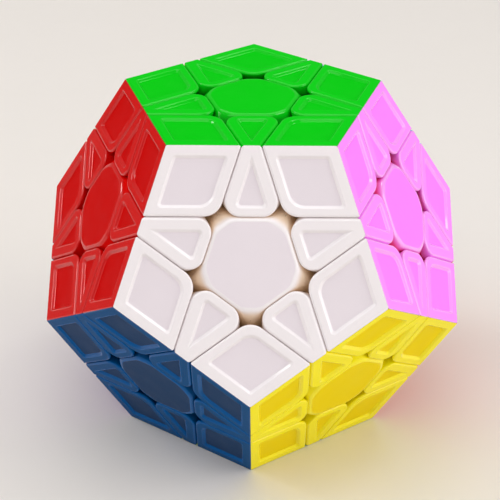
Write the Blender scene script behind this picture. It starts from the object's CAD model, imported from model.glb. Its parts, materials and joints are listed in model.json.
"""The looks of the dodecahedron twisty puzzle.

Moulded tiles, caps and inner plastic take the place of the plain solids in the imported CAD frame.
"""

import json
import math

import bpy
import numpy as np
from mathutils import Matrix, Vector

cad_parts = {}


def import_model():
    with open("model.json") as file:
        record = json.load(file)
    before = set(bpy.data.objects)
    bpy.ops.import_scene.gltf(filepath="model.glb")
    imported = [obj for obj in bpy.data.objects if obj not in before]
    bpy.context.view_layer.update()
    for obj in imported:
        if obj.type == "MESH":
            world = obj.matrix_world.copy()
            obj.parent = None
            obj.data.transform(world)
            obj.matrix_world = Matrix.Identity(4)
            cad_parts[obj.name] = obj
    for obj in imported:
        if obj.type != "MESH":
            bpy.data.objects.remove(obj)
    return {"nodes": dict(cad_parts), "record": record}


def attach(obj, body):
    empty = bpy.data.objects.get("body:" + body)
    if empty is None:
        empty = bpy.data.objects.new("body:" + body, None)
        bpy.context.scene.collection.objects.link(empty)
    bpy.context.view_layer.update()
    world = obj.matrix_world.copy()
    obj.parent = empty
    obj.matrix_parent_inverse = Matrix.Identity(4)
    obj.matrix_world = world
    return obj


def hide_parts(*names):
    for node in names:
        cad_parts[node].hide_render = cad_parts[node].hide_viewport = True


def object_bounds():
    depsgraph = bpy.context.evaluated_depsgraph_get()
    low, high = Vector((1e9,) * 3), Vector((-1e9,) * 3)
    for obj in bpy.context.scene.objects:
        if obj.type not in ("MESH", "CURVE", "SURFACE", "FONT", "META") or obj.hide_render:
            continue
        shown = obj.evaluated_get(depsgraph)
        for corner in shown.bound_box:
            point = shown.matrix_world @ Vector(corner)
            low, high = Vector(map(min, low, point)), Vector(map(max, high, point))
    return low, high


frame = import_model()
cad_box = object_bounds()

MM = 0.001

# The puzzle, in millimetres: its height, a layer's thickness, and how far faces and cuts are from its centre
HEIGHT = round((cad_box[1][2] - cad_box[0][2]) / MM, 2)
LAYER = 14.17
FACE_Z = HEIGHT / 2
CUT = FACE_Z - LAYER

# Angles from a face's axis to its neighbour's and to that of the edge between them
NEXT = math.atan(2)
TO_EDGE = NEXT / 2

# How far an edge is from a face's middle
FACE_IN = FACE_Z * math.tan(TO_EDGE)

# How far a tile stays back from a cut and from the plane through the solid's edge
PLAY = 0.06
SEAM = 0.03

# Roundings down the tiles' sides, at the cuts and at the solid's edges
SEAM_ROUND = 0.5
EDGE_ROUND = 0.35
ROUND_STEPS = 5

# Tiles' corners from above: a corner tile's inner one, an edge tile's inner two, the others, and the least
CORNER_R = 4.6
TILE_END_R = 3.3
SMALL_R = 0.45
LEAST_R = 0.12

# Shells: thickness of the plate, and the depth of the points part of the way down its sides
PLATE = 2.2
PLATE_MIDDLE = 1.4

# Walls under the plate: their thickness and heights, and how far they reach to each side in an edge piece
WALL = 1.4
WALL_START = FACE_Z - PLATE + 0.1
WALL_END = 28.9
WALL_RINGS = 7
EDGE_WALL_HALF = 8.5

# Windows: width and depth of their bevel, width of the rims round them, and their corners
BEVEL = 0.8
BEVEL_STEPS = 8
DEPTH = 0.6
CORNER_RIM_OUT = 2.15
RIM_IN = 2.1
EDGE_RIM_SIDE = 2.25
TIP_CUT = 0.11
TIP_TURN = math.radians(72)
CORNER_WINDOW_R = 3.9
EDGE_WINDOW_R = 0.9
SMALL_WINDOW_R = 0.75

# Narrow flat bands beside the roundings, so that rims and windows are shaded as flat. Those at the bevel are
# shares of its width, before its start and past its end.
RIM_BAND = 0.03
BEVEL_BEFORE = -0.05
BEVEL_PAST = 1.06
CAP_BAND = 0.05

# Caps: their base and rounding, and the slope that cuts off their corners, CAP_CORNER from the face's middle
CAP_BASE = 35.96
CAP_ROUND = 0.8
CAP_STEPS = 8
CAP_CORNER = 10.35
CAP_LEAST_CUT = 0.35
CAP_SLOPE = math.radians(45)
CAP_MATTE_IN = 0.3
CAP_HOLLOW_R = 7.4

# Heights up a cap's sides, and how round its corners are there
CAP_SIDES = [(CAP_BASE, 1.2), (37, 1.6), (38, 2.0), (39, 2.5), (40, 3.0)]

# Hubs: radii and heights of the barrel, cone, spring pocket and skirt. The cone gets wider upwards, and its
# underside meets the barrel at CONE_ROOT.
BORE_R = 1.58
BARREL_R = 5.4
CONE_BASE_R = 10.1
CONE_R = 12.6
POCKET_R = 4.2
HUB_BASE = 20.4
POCKET_FLOOR = 24.0
CONE_BASE = 26.5
CONE_ROOT = 27.5
CONE_TOP = 32.9
HUB_TOP = 33.4
SKIRT_BASE = 33.2
SKIRT_TOP = 35.9
SKIRT_IN_R = 5.0

# Stalks of the edge pieces: heights and half widths of the foot, neck and post. The foot's far side is
# FOOT_REACH round from a face's axis.
FOOT_BASE = 21.9
FOOT_TOP = 26.5
NECK_BASE = 25.6
NECK_TOP = 28.6
POST_BASE = 28.15
POST_SHOULDER = 36
POST_TOP = 39.4
FOOT_HALF = 3.4
POST_HALF = 6.6
FOOT_REACH = math.radians(46.9)
FOOT_SPREAD = math.tan(FOOT_REACH - TO_EDGE)

# Springs. SPRING_GATHER draws their turns together towards both ends.
SPRING_R = 2.9
WIRE_R = 0.35
SPRING_BASE = 24.5
SPRING_TOP = 29.87
SPRING_TURNS = 3.5
SPRING_GATHER = 0.08
SPRING_STEPS = 64
WIRE_SIDES = 8

# Name, tilt from +Z and azimuth of each face, as in the CAD part
TILT = math.degrees(NEXT)
FACES = [
    ("green", 0, 0),
    ("white", TILT, -90),
    ("pink", TILT, -18),
    ("light_blue", TILT, 54),
    ("cream", TILT, 126),
    ("red", TILT, 198),
    ("yellow", 180 - TILT, -54),
    ("orange", 180 - TILT, 18),
    ("grey", 180 - TILT, 90),
    ("purple", 180 - TILT, 162),
    ("blue", 180 - TILT, 234),
    ("lime", 180, 0),
]
BOTTOM = len(FACES) - 1

# Colours, 0 to 255: a tile's glossy rim, its matte window, and the depth of a seam
COLOURS = {
    "green": ((0, 202, 18), (0, 197, 14), (0, 150, 12)),
    "white": ((250, 243, 245), (240, 230, 236), (255, 226, 194)),
    "pink": ((255, 144, 255), (255, 135, 255), (228, 12, 88)),
    "light_blue": ((100, 192, 236), (88, 180, 228), (40, 116, 166)),
    "cream": ((244, 232, 180), (236, 222, 164), (214, 178, 110)),
    "red": ((208, 10, 8), (202, 6, 5), (240, 9, 6)),
    "yellow": ((255, 240, 16), (243, 216, 14), (255, 240, 24)),
    "orange": ((246, 118, 14), (236, 104, 8), (196, 66, 0)),
    "grey": ((138, 142, 148), (122, 126, 133), (86, 88, 93)),
    "purple": ((102, 44, 166), (88, 36, 148), (58, 20, 104)),
    "blue": ((2, 78, 134), (40, 68, 106), (6, 50, 98)),
    "lime": ((160, 220, 50), (148, 208, 40), (108, 160, 20)),
}

# Colours of rounded lips that differ from their rims
LIPS = {
    "blue": (0, 90, 158),
    "pink": (255, 162, 250),
}

# How much the rims, windows and lips of a face shine
SHINE = {
    "green": (0.04, 0.03, 0.3),
    "white": (0.24, 0.06, 0.6),
    "pink": (0.1, 0.04, 1.0),
    "cream": (0.24, 0.06, 0.6),
    "red": (0.02, 0.02, 0.5),
    "blue": (0.02, 0.04, 0.12),
}
USUAL_SHINE = (0.1, 0.04, 0.5)

# Material numbers of a shell, cap or hub
RIM, FLOOR, DEEP, LIP = range(4)

# How far under its face a piece's colour starts to deepen, and over what height it does
TILE_DEEPENS = (0.6, 3.6)
CAP_DEEPENS = (0.1, 1.3)

# Edges that bend by more than this are shaded as sharp
SHARP = math.radians(38)

PALE_FLOOR = (234, 228, 222)

# Name, azimuth (0 is in front) and elevation in degrees, distance and size in metres, and power in watts
LIGHTS = [
    ("key", -25, 66, 1.0, 1.1, 4.6),
    ("left", -80, 28, 1.0, 0.9, 1.3),
    ("right", 78, 20, 1.0, 0.9, 4.6),
    ("front", 25, 8, 1.2, 0.9, 1.6),
    ("back", 180, 58, 1.2, 1.0, 2.6),
    ("glint_right", 118, 56, 0.9, 0.25, 0.75),
    ("glint_left", -104, 36, 0.9, 0.26, 1.5),
]
WORLD_COLOUR = (1.0, 0.985, 0.97, 1)
WORLD_STRENGTH = 0.25


# ---------------------------------------------------------------- the dodecahedron


def axis_of(i):
    tilt, azimuth = math.radians(FACES[i][1]), math.radians(FACES[i][2])
    out = math.sin(tilt)
    return np.array([out * math.cos(azimuth), out * math.sin(azimuth), math.cos(tilt)])


AXES = [axis_of(i) for i in range(len(FACES))]


def meet(i, j):
    """Whether two faces have a common edge."""
    return i != j and AXES[i] @ AXES[j] > math.cos(NEXT) - 0.01


EDGES = [(i, j) for i in range(len(FACES)) for j in range(i + 1, len(FACES)) if meet(i, j)]
CORNERS = [(i, j, k) for i, j in EDGES for k in range(j + 1, len(FACES)) if meet(i, k) and meet(j, k)]


def unit(v):
    return v / np.linalg.norm(v)


def aimed(z, x):
    """Columns of the frame whose Z is z, with its X towards x."""
    u = unit(x - z * (z @ x))
    return np.array([u, np.cross(z, u), z]).T


# ---------------------------------------------------------------- outlines and meshes


class Side:
    """One side of a tile: the plane s * cos(lean) + z * sin(lean) = c, where s is measured along the face.

    The rounding at its top starts at the angle start. Where that is lean, it is tangent to the side.
    """

    def __init__(self, angle, lean, c, fillet, start):
        self.angle = math.radians(angle)
        self.lean = lean
        self.c = c
        self.fillet = fillet
        self.start = start

    def at(self, z, inward=0.0):
        """How far out the side, moved inward, crosses height z."""
        return (self.c - inward - z * math.sin(self.lean)) / math.cos(self.lean)

    def rounded(self, t):
        """A point of the rounding between the side, at t = 0, and the face, at t = 1."""
        z = FACE_Z - self.fillet
        tangent = self.start == self.lean
        s = self.at(z, self.fillet if tangent else 0.0)
        a = self.start + (math.pi / 2 - self.start) * t
        return s + self.fillet * math.cos(a), z + self.fillet * math.sin(a)


def beyond_cut(angle):
    """A side that faces the face's middle, along the cut that the tile is beyond."""
    lean = NEXT - math.pi / 2
    return Side(angle, lean, -(CUT + PLAY), SEAM_ROUND, lean)


def inside_cut(angle, fillet=SEAM_ROUND):
    """A side that faces outwards, along a cut that the tile or cap is inside."""
    lean = math.pi / 2 - NEXT
    return Side(angle, lean, CUT - PLAY, fillet, lean)


def at_edge(angle):
    """A side at an edge of the solid."""
    return Side(angle, -TO_EDGE, -SEAM, EDGE_ROUND, math.pi / 2 - TO_EDGE)


def smooth(t):
    return t * t * (3 - 2 * t)


def arc(side, following, place, next_place, r, steps):
    """The rounded corner between two neighbouring sides. A place says how far out a side is, and how high."""
    a, b = side.angle, following.angle
    if b < a:
        b += 2 * math.pi
    m = np.array([[math.cos(a), math.sin(a)], [math.cos(b), math.sin(b)]])
    middle = np.linalg.solve(m, [place[0] - r, next_place[0] - r])
    points = []
    for k in range(steps + 1):
        t = k / steps
        angle = a + (b - a) * t
        z = place[1] + (next_place[1] - place[1]) * smooth(t)
        points.append((middle[0] + r * math.cos(angle), middle[1] + r * math.sin(angle), z))
    return points


def ring(sides, places, radii, steps):
    """A closed outline with rounded corners. The first radius is between the first side and the second."""
    points = []
    for i, side in enumerate(sides):
        j = (i + 1) % len(sides)
        points.extend(arc(side, sides[j], places[i], places[j], radii[i], steps[i]))
    return np.array(points)


def circle(r, z, count, start=0.0):
    angles = [math.radians(start + 360 * k / count) for k in range(count)]
    return np.array([(r * math.cos(a), r * math.sin(a), z) for a in angles])


class Mesh:
    """Rings of points joined into one mesh, with a material number for each band."""

    def __init__(self, deepens=TILE_DEEPENS):
        self.points = []
        self.faces = []
        self.kinds = []
        self.deepens = deepens

    def add(self, ring_points):
        start = len(self.points)
        self.points.extend(ring_points)
        return list(range(start, len(self.points)))

    def band(self, a, b, kind):
        for i in range(len(a)):
            j = (i + 1) % len(a)
            self.faces.append((a[i], a[j], b[j], b[i]))
            self.kinds.append(kind)

    def close(self, a, kind, flip=False):
        self.faces.append(tuple(reversed(a)) if flip else tuple(a))
        self.kinds.append(kind)

    def loft(self, rings, kinds):
        """Joins rings from the bottom up, counter-clockwise from above. Returns their points' numbers."""
        made = [self.add(r) for r in rings]
        for a, b, kind in zip(made, made[1:], kinds):
            self.band(a, b, kind)
        return made

    def solid(self, rings, kind):
        """Joins rings and closes both ends."""
        made = self.loft(rings, [kind] * (len(rings) - 1))
        self.close(made[0], kind, flip=True)
        self.close(made[-1], kind)

    def made(self, name, matrix, materials):
        """A Blender object of it, turned by the matrix, in metres."""
        points = np.array(self.points) @ matrix.T * MM
        mesh = bpy.data.meshes.new(name)
        mesh.from_pydata([tuple(p) for p in points], [], self.faces)
        for one in materials:
            mesh.materials.append(one)
        mesh.polygons.foreach_set("material_index", self.kinds)
        start, span = self.deepens
        depth = [min(1.0, max(0.0, (FACE_Z - start - p[2]) / span)) for p in self.points]
        mesh.attributes.new("depth", "FLOAT", "POINT").data.foreach_set("value", depth)
        mesh.shade_smooth()
        mesh.set_sharp_from_angle(angle=SHARP)
        mesh.update()
        obj = bpy.data.objects.new(name, mesh)
        bpy.context.scene.collection.objects.link(obj)
        return obj


# ---------------------------------------------------------------- coloured shells


def tile(mesh, sides, radii, steps, window, window_radii):
    """The plate under a face: its rounded seams, its rim, and its window sunk into it.

    window says how far out each of the window's sides is. None is for a side that only blunts the tip between
    its two neighbours, which are TIP_TURN round from it.
    """
    count = len(sides)
    nominal = [s.at(FACE_Z) for s in sides]

    def outline(places):
        """The tile's outline, with corners that get sharper as the sides move in."""
        inset = [nominal[i] - places[i][0] for i in range(count)]
        shrink = [max(0, (inset[i] + inset[(i + 1) % count]) / 2) for i in range(count)]
        return ring(sides, places, [max(LEAST_R, radii[i] - shrink[i]) for i in range(count)], steps)

    def window_ring(t, z):
        """The window's outline at a share t of its bevel."""
        blunt = (window[1] - BEVEL * t - TIP_CUT) / math.cos(TIP_TURN)
        places = [(blunt if w is None else w - BEVEL * t, z) for w in window]
        return ring(sides, places, [max(LEAST_R, r - BEVEL * t / 2) for r in window_radii], steps)

    rings = []
    for z in (FACE_Z - PLATE, FACE_Z - PLATE_MIDDLE):
        rings.append(ring(sides, [(s.at(z), z) for s in sides], radii, steps))
    for k in range(ROUND_STEPS + 1):
        rings.append(outline([s.rounded(k / ROUND_STEPS) for s in sides]))
    rings.append(outline([(s.rounded(1)[0] - RIM_BAND, FACE_Z) for s in sides]))
    made = mesh.loft(rings, [RIM] * 2 + [LIP] * ROUND_STEPS + [RIM])
    mesh.close(made[0], RIM, flip=True)

    last = mesh.add(window_ring(BEVEL_BEFORE, FACE_Z))
    mesh.band(made[-1], last, RIM)
    for k in range(BEVEL_STEPS + 1):
        t = k / BEVEL_STEPS
        low = mesh.add(window_ring(t, FACE_Z - DEPTH * smooth(t)))
        mesh.band(last, low, LIP if k < BEVEL_STEPS else FLOOR)
        last = low
    low = mesh.add(window_ring(BEVEL_PAST, FACE_Z - DEPTH))
    mesh.band(last, low, FLOOR)
    mesh.close(low, FLOOR)


def wall_line(path, z, inward, r, steps, limit):
    """One face of the walls at height z, moved inward. Its corners are rounded as far as there is room."""
    last = len(path) - 1
    places = [(s.at(z, 0.0 if k in (0, last) else inward), z) for k, s in enumerate(path)]
    room = places[0][0] + places[1][0]
    points = []
    for k in range(last):
        if 0 < k < last - 1:
            size, count = min(r - inward, 0.9 * room), steps
        else:
            size, count = 0.01, 1
        points.extend(arc(path[k], path[k + 1], places[k], places[k + 1], size, count))
    points = np.array(points)
    points[:, 1] = np.clip(points[:, 1], inward - limit, limit - inward)
    return points


def walls(mesh, path, r, steps, limit=math.inf):
    """The walls under a plate, along a path of its sides. The path's first and last sides end the walls."""
    made = []
    for k in range(WALL_RINGS):
        z = WALL_START + (WALL_END - WALL_START) * k / (WALL_RINGS - 1)
        outer = wall_line(path, z, 0.0, r, steps, limit)
        inner = wall_line(path, z, WALL, r, steps, limit)
        made.append(mesh.add(np.vstack([outer, inner[::-1]])))
    for a, b in zip(made, made[1:]):
        mesh.band(b, a, DEEP)
    for end, flip in ((made[0], False), (made[-1], True)):
        for i in range(len(end) // 2 - 1):
            mesh.close((end[i], end[i + 1], end[-2 - i], end[-1 - i]), DEEP, flip)


def corner_shell():
    """A corner piece's coloured shell, with +X towards its vertex."""
    sides = [at_edge(-36), at_edge(36), beyond_cut(144), beyond_cut(216)]
    radii = [SMALL_R, SMALL_R, CORNER_R, SMALL_R]
    steps = [4, 4, 14, 4]
    window = [FACE_IN - CORNER_RIM_OUT] * 2 + [sides[2].at(FACE_Z) - RIM_IN] * 2
    window_radii = [SMALL_WINDOW_R, SMALL_WINDOW_R, CORNER_WINDOW_R, SMALL_WINDOW_R]
    mesh = Mesh()
    tile(mesh, sides, radii, steps, window, window_radii)
    walls(mesh, sides[1:] + sides[:1], CORNER_R, 10)
    return mesh


def edge_shell():
    """An edge piece's coloured shell, with +X towards its edge."""
    sides = [at_edge(0), inside_cut(72), beyond_cut(180), inside_cut(288)]
    radii = [SMALL_R, TILE_END_R, TILE_END_R, SMALL_R]
    steps = [4, 10, 10, 4]
    window_side = sides[1].at(FACE_Z) - EDGE_RIM_SIDE
    window = [None, window_side, sides[2].at(FACE_Z) - RIM_IN, window_side]
    window_radii = [LEAST_R, EDGE_WINDOW_R, EDGE_WINDOW_R, LEAST_R]
    mesh = Mesh()
    tile(mesh, sides, radii, steps, window, window_radii)
    walls(mesh, sides + sides[:1], TILE_END_R, 8, EDGE_WALL_HALF)
    return mesh


# ---------------------------------------------------------------- caps, hubs, stalks and springs


def even_ring(sides, places, r, steps):
    """A closed outline with the same rounding at all its corners."""
    return ring(sides, places, [r] * len(sides), [steps] * len(sides))


def cap():
    """A centre cap: matte on top, with cut corners that slope down into the star-shaped openings."""
    reach = CAP_CORNER * math.cos(CAP_SLOPE) + FACE_Z * math.sin(CAP_SLOPE)
    sides = []
    for k in range(5):
        sides.append(inside_cut(72 * k, CAP_ROUND))
        sides.append(Side(72 * k + 36, CAP_SLOPE, reach, 2 * CAP_ROUND, CAP_SLOPE))

    def at(z):
        """The places of the sides at a height. Each corner is cut off by CAP_LEAST_CUT or more."""
        main = sides[0].at(z)
        corner = min(sides[1].at(z), main / math.cos(math.radians(36)) - CAP_LEAST_CUT)
        return [(main, z), (corner, z)] * 5

    rings = [even_ring(sides, at(z), r, 5) for z, r in CAP_SIDES]
    for k in range(CAP_STEPS + 1):
        rings.append(even_ring(sides, [s.rounded(k / CAP_STEPS) for s in sides], 3.2 + 0.12 * k, 5))
    top = [s.rounded(1)[0] for s in sides]
    rings.append(even_ring(sides, [(t - CAP_BAND, FACE_Z) for t in top], 4.1, 5))
    mesh = Mesh(CAP_DEEPENS)
    made = mesh.loft(rings, [RIM] * len(CAP_SIDES) + [LIP] * (CAP_STEPS + 1))

    inside = mesh.add(even_ring(sides, [(t - CAP_MATTE_IN, FACE_Z) for t in top], 4.0, 5))
    mesh.band(made[-1], inside, FLOOR)
    mesh.close(inside, FLOOR)
    low = mesh.add(circle(CAP_HOLLOW_R, CAP_BASE, len(inside)))
    high = mesh.add(circle(CAP_HOLLOW_R, FACE_Z - PLATE, len(inside)))
    mesh.band(low, made[0], DEEP)
    mesh.band(high, low, DEEP)
    mesh.close(high, DEEP, flip=True)
    return mesh


def turned(outline, count):
    """Rings round the Z axis through (radius, height) points."""
    return [circle(r, z, count) for r, z in outline]


def hub():
    """The hub under a cap: barrel, cone and spring pocket, with the skirt round it."""
    mesh = Mesh()
    outline = [
        (BORE_R, HUB_BASE),
        (BARREL_R - 0.4, HUB_BASE),
        (BARREL_R, HUB_BASE + 0.4),
        (BARREL_R, CONE_ROOT),
        (BARREL_R + 0.3, CONE_ROOT + 0.15),
        (CONE_BASE_R - 0.3, CONE_BASE),
        (CONE_BASE_R, CONE_BASE + 0.1),
        (CONE_R, CONE_TOP),
        (CONE_R, HUB_TOP - 0.1),
        (CONE_R - 0.2, HUB_TOP),
        (POCKET_R + 0.3, HUB_TOP),
        (POCKET_R, HUB_TOP - 0.3),
        (POCKET_R, POCKET_FLOOR),
        (BORE_R, POCKET_FLOOR),
    ]
    made = mesh.loft(turned(outline, 40), [DEEP] * (len(outline) - 1))
    mesh.band(made[-1], made[0], DEEP)

    sides = [inside_cut(72 * k) for k in range(5)]
    straight = SKIRT_TOP - 0.4
    rings = [even_ring(sides, [(s.at(z) - 0.1, z) for s in sides], 2.4, 12) for z in (SKIRT_BASE, straight)]
    rings.append(even_ring(sides, [(s.at(straight) - 0.4, SKIRT_TOP) for s in sides], 2.2, 12))
    outside = mesh.loft(rings, [RIM] * 2)
    inside = [mesh.add(circle(SKIRT_IN_R, z, len(outside[0]), -36)) for z in (SKIRT_TOP, SKIRT_BASE)]
    mesh.band(outside[-1], inside[0], RIM)
    mesh.band(inside[0], inside[1], RIM)
    mesh.band(inside[1], outside[0], RIM)
    return mesh


def corner_stalk():
    """A corner piece's foot, stem and inner post, as radii and heights round its own axis."""
    foot = [(3.6, 21.7), (3.95, 21.95), (4.9, 27.2), (4.75, 27.38)]
    stem = [(2.2, 27.4), (1.85, 27.65), (1.85, 28.5), (2.5, 33.6), (2.5, 40.1), (2.7, 40.25)]
    post = [(4.6, 40.25), (4.6, 44.6), (4.2, 45.0)]
    mesh = Mesh()
    mesh.solid(turned(foot + stem + post, 32), RIM)
    return mesh


def block(mesh, sections):
    """A block lofted through sections: half widths along X and Y, height, and corner radius."""
    rings = []
    for half_x, half_y, z, r in sections:
        points = []
        for x, y, start in ((1, 1, 0), (-1, 1, 90), (-1, -1, 180), (1, -1, 270)):
            for k in range(4):
                a = math.radians(start + 30 * k)
                points.append((x * (half_x - r) + r * math.cos(a), y * (half_y - r) + r * math.sin(a), z))
        rings.append(np.array(points))
    mesh.solid(rings, RIM)


def edge_stalk():
    """An edge piece's foot, neck and inner post, along its own axis, with +X towards one of its faces."""
    mesh = Mesh()
    narrow, wide = FOOT_BASE * FOOT_SPREAD, FOOT_TOP * FOOT_SPREAD
    foot = [
        (narrow - 0.3, FOOT_HALF - 0.2, FOOT_BASE, 0.3),
        (narrow + 0.1, FOOT_HALF, FOOT_BASE + 0.3, 0.3),
        (wide - 0.1, FOOT_HALF, FOOT_TOP - 0.25, 0.3),
        (wide - 0.4, FOOT_HALF - 0.2, FOOT_TOP, 0.3),
    ]
    neck = [(FOOT_HALF, FOOT_HALF, z, 0.4) for z in (NECK_BASE, NECK_TOP)]
    post = [
        (FOOT_HALF, POST_HALF - 0.3, POST_BASE, 0.4),
        (FOOT_HALF, POST_HALF, POST_BASE + 0.35, 0.4),
        (FOOT_HALF, POST_HALF, POST_SHOULDER, 0.4),
        (FOOT_HALF, POST_HALF - 1.3, POST_TOP, 0.4),
    ]
    for sections in (foot, neck, post):
        block(mesh, sections)
    return mesh


def spring():
    """A centre spring: a round wire along a helix that is closer wound at its ends."""
    path = []
    for k in range(SPRING_STEPS + 1):
        t = k / SPRING_STEPS
        a = 2 * math.pi * SPRING_TURNS * t
        z = SPRING_BASE + (SPRING_TOP - SPRING_BASE) * (t - SPRING_GATHER * math.sin(2 * math.pi * t))
        path.append((SPRING_R * math.cos(a), SPRING_R * math.sin(a), z))
    path = np.array(path)
    rings = []
    for p, along in zip(path, np.gradient(path, axis=0)):
        along = unit(along)
        out = unit(np.array([p[0], p[1], 0.0]))
        out = unit(out - along * (along @ out))
        up = np.cross(along, out)
        angles = [2 * math.pi * k / WIRE_SIDES for k in range(WIRE_SIDES)]
        rings.append([p + WIRE_R * (math.cos(a) * out + math.sin(a) * up) for a in angles])
    mesh = Mesh()
    mesh.solid(rings, RIM)
    return mesh


# ---------------------------------------------------------------- materials


def linear(colour):
    def one(v):
        v /= 255
        return v / 12.92 if v <= 0.04045 else ((v + 0.055) / 1.055) ** 2.4

    return (*[one(v) for v in colour], 1.0)


def noise(tree, scale, detail):
    coords = tree.nodes.new("ShaderNodeTexCoord")
    node = tree.nodes.new("ShaderNodeTexNoise")
    node.inputs["Scale"].default_value = scale
    node.inputs["Detail"].default_value = detail
    node.inputs["Roughness"].default_value = 0.55
    tree.links.new(coords.outputs["Object"], node.inputs["Vector"])
    return node.outputs["Fac"]


def spread(tree, value, low, high):
    """A noise value, which is mostly from 0.3 to 0.7, spread between two numbers."""
    node = tree.nodes.new("ShaderNodeMapRange")
    node.inputs["From Min"].default_value = 0.3
    node.inputs["From Max"].default_value = 0.7
    node.inputs["To Min"].default_value = low
    node.inputs["To Max"].default_value = high
    tree.links.new(value, node.inputs["Value"])
    return node.outputs["Result"]


def mixed(tree, factor, a, b):
    """A mix of a, which is a colour or an output, and the colour b."""
    node = tree.nodes.new("ShaderNodeMix")
    node.data_type = "RGBA"
    tree.links.new(factor, node.inputs["Factor"])
    if isinstance(a, tuple):
        node.inputs["A"].default_value = a
    else:
        tree.links.new(a, node.inputs["A"])
    node.inputs["B"].default_value = b
    return node.outputs["Result"]


def material(name, colour, roughness, grain, grain_scale, specular=0.5, metallic=0.0, vary=0.04, deep=None):
    """Moulded plastic or metal: uneven gloss, a slight variation of colour, and a grain, in millimetres.

    deep is the colour that it takes on down between the pieces.
    """
    made = bpy.data.materials.new(name)
    made.use_nodes = True
    tree = made.node_tree
    shader = tree.nodes["Principled BSDF"]

    base = linear(colour)[:3]
    darker = tuple(c * (1 - vary) for c in base) + (1,)
    lighter = tuple(min(1, c * (1 + vary)) for c in base) + (1,)
    colour_out = mixed(tree, noise(tree, 60, 3), darker, lighter)
    if deep is not None:
        down = tree.nodes.new("ShaderNodeAttribute")
        down.attribute_name = "depth"
        colour_out = mixed(tree, down.outputs["Fac"], colour_out, linear(deep))
    tree.links.new(colour_out, shader.inputs["Base Color"])

    gloss = spread(tree, noise(tree, 220, 4), roughness * 0.85, roughness * 1.15)
    tree.links.new(gloss, shader.inputs["Roughness"])

    bump = tree.nodes.new("ShaderNodeBump")
    bump.inputs["Strength"].default_value = 1.0
    bump.inputs["Distance"].default_value = grain * MM
    tree.links.new(noise(tree, grain_scale, 3), bump.inputs["Height"])
    tree.links.new(bump.outputs["Normal"], shader.inputs["Normal"])

    shader.inputs["Specular IOR Level"].default_value = specular
    shader.inputs["Metallic"].default_value = metallic
    return made


def plastics(name):
    """The rim, window, deep and lip materials of a face, in the order of their numbers."""
    rim, window, deep = COLOURS[name]
    shine = SHINE.get(name, USUAL_SHINE)
    lip = LIPS.get(name, rim)
    return [
        material(name + "_gloss", rim, 0.14, 0.003, 1500, specular=shine[0], vary=0.02, deep=deep),
        material(name + "_matte", window, 0.5, 0.012, 5200, specular=shine[1], vary=0.025),
        material(name + "_deep", deep, 0.45, 0.006, 2500, specular=0.2, vary=0.05),
        material(name + "_lip", lip, 0.1, 0.002, 1500, specular=shine[2], vary=0.02, deep=deep),
    ]


PLASTIC = {name: plastics(name) for name in COLOURS}
INNER = material("inner_plastic", (216, 210, 202), 0.38, 0.01, 1800)
STEEL = material("steel", (176, 180, 186), 0.3, 0.006, 2600, metallic=1.0)
SPRING_STEEL = material("spring_steel", (150, 154, 160), 0.24, 0.004, 3000, metallic=1.0)
CORE = material("core_plastic", (228, 224, 218), 0.4, 0.012, 1400)


# ---------------------------------------------------------------- pieces

BODY = {node: body for body, nodes in frame["record"]["behaviour"]["bodies"].items() for node in nodes}


def piece(name, node, mesh, matrix, materials):
    obj = mesh.made(name, matrix, materials)
    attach(obj, BODY[node])
    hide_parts(node)


def name_of(*faces):
    return "_".join(FACES[i][0] for i in faces)


def node_of_edge(i, j):
    """The node of an edge piece. Five of them share theirs with a corner piece of the bottom face."""
    holds_corner = j != BOTTOM and meet(i, BOTTOM) and meet(j, BOTTOM)
    return ("edge_corner_" if holds_corner else "edge_") + name_of(i, j)


def centres():
    cap_mesh, hub_mesh, spring_mesh = cap(), hub(), spring()
    for i, axis in enumerate(AXES):
        first = next(j for j in range(len(FACES)) if meet(i, j))
        matrix = aimed(axis, AXES[first])
        name = name_of(i)
        piece("cap_" + name, "centre_" + name, cap_mesh, matrix, PLASTIC[name])
        piece("hub_" + name, "centre_" + name, hub_mesh, matrix, PLASTIC[name])
        piece("spring_" + name, "springs", spring_mesh, matrix, [SPRING_STEEL])


def edge_pieces():
    shell, stalk = edge_shell(), edge_stalk()
    for i, j in EDGES:
        node = node_of_edge(i, j)
        base = "edge_" + name_of(i, j)
        middle = unit(AXES[i] + AXES[j])
        for a, b in ((i, j), (j, i)):
            name = base + "_shell_" + name_of(a)
            piece(name, node, shell, aimed(AXES[a], AXES[b]), PLASTIC[name_of(a)])
        piece(base + "_stalk", node, stalk, aimed(middle, AXES[i]), [INNER])


def corner_pieces():
    shell, stalk = corner_shell(), corner_stalk()
    for corner in CORNERS:
        i, j, k = corner
        node = node_of_edge(i, j) if k == BOTTOM else "corner_" + name_of(*corner)
        base = "corner_" + name_of(*corner)
        middle = unit(AXES[i] + AXES[j] + AXES[k])
        for a in corner:
            name = base + "_shell_" + name_of(a)
            piece(name, node, shell, aimed(AXES[a], middle), PLASTIC[name_of(a)])
        piece(base + "_stalk", node, stalk, aimed(middle, AXES[i]), [INNER])


def core_and_screws():
    """The CAD part's own core and screws, with their materials."""
    for name, finish in (("core", CORE), ("screws", STEEL)):
        mesh = frame["nodes"][name].data
        mesh.materials.clear()
        mesh.materials.append(finish)


# ---------------------------------------------------------------- floor, light and camera


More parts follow.
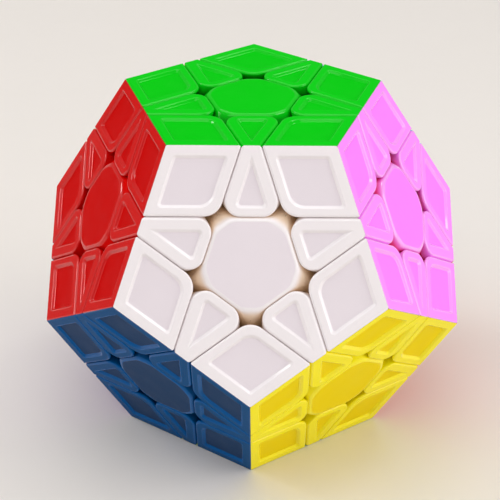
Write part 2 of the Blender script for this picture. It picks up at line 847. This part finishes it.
def floor():
    half, low = 3.0, -FACE_Z * MM
    corners = [(-half, -half, low), (half, -half, low), (half, half, low), (-half, half, low)]
    mesh = bpy.data.meshes.new("floor")
    mesh.from_pydata(corners, [], [(0, 1, 2, 3)])
    mesh.materials.append(material("floor", PALE_FLOOR, 0.6, 0.0, 40, specular=0.2, vary=0.01))
    obj = bpy.data.objects.new("floor", mesh)
    bpy.context.scene.collection.objects.link(obj)


def towards(azimuth, elevation):
    a, e = math.radians(azimuth), math.radians(elevation)
    return Vector((math.sin(a) * math.cos(e), -math.cos(a) * math.cos(e), math.sin(e)))


def soft_light(name, azimuth, elevation, distance, size, power):
    place = towards(azimuth, elevation) * distance
    data = bpy.data.lights.new(name, "AREA")
    data.shape = "DISK"
    data.size = size
    data.energy = power
    obj = bpy.data.objects.new(name, data)
    obj.location = place
    obj.rotation_mode = "QUATERNION"
    obj.rotation_quaternion = place.to_track_quat("Z", "Y")
    bpy.context.scene.collection.objects.link(obj)


def world():
    made = bpy.data.worlds.new("studio")
    made.use_nodes = True
    background = made.node_tree.nodes["Background"]
    background.inputs["Color"].default_value = WORLD_COLOUR
    background.inputs["Strength"].default_value = WORLD_STRENGTH
    bpy.context.scene.world = made


def camera(azimuth, elevation, distance, roll, lens, shift):
    """A camera that looks at the origin from a distance in millimetres."""
    back = towards(azimuth, elevation)
    data = bpy.data.cameras.new("camera")
    data.sensor_width = 36
    data.lens = lens
    data.clip_start, data.clip_end = 0.01, 20
    data.shift_x, data.shift_y = shift
    obj = bpy.data.objects.new("camera", data)
    bpy.context.scene.collection.objects.link(obj)
    obj.location = back * distance * MM
    aim = (-back).to_track_quat("-Z", "Y").to_matrix().to_4x4()
    obj.matrix_world = Matrix.Translation(obj.location) @ aim @ Matrix.Rotation(math.radians(roll), 4, "Z")
    bpy.context.scene.camera = obj


centres()
edge_pieces()
corner_pieces()
core_and_screws()

floor()
world()
for light in LIGHTS:
    soft_light(*light)
camera(azimuth=0.52, elevation=29.6, distance=402.3, roll=0.1, lens=120.3, shift=(-0.005, 0.0064))
bpy.context.scene.view_settings.view_transform = "Standard"
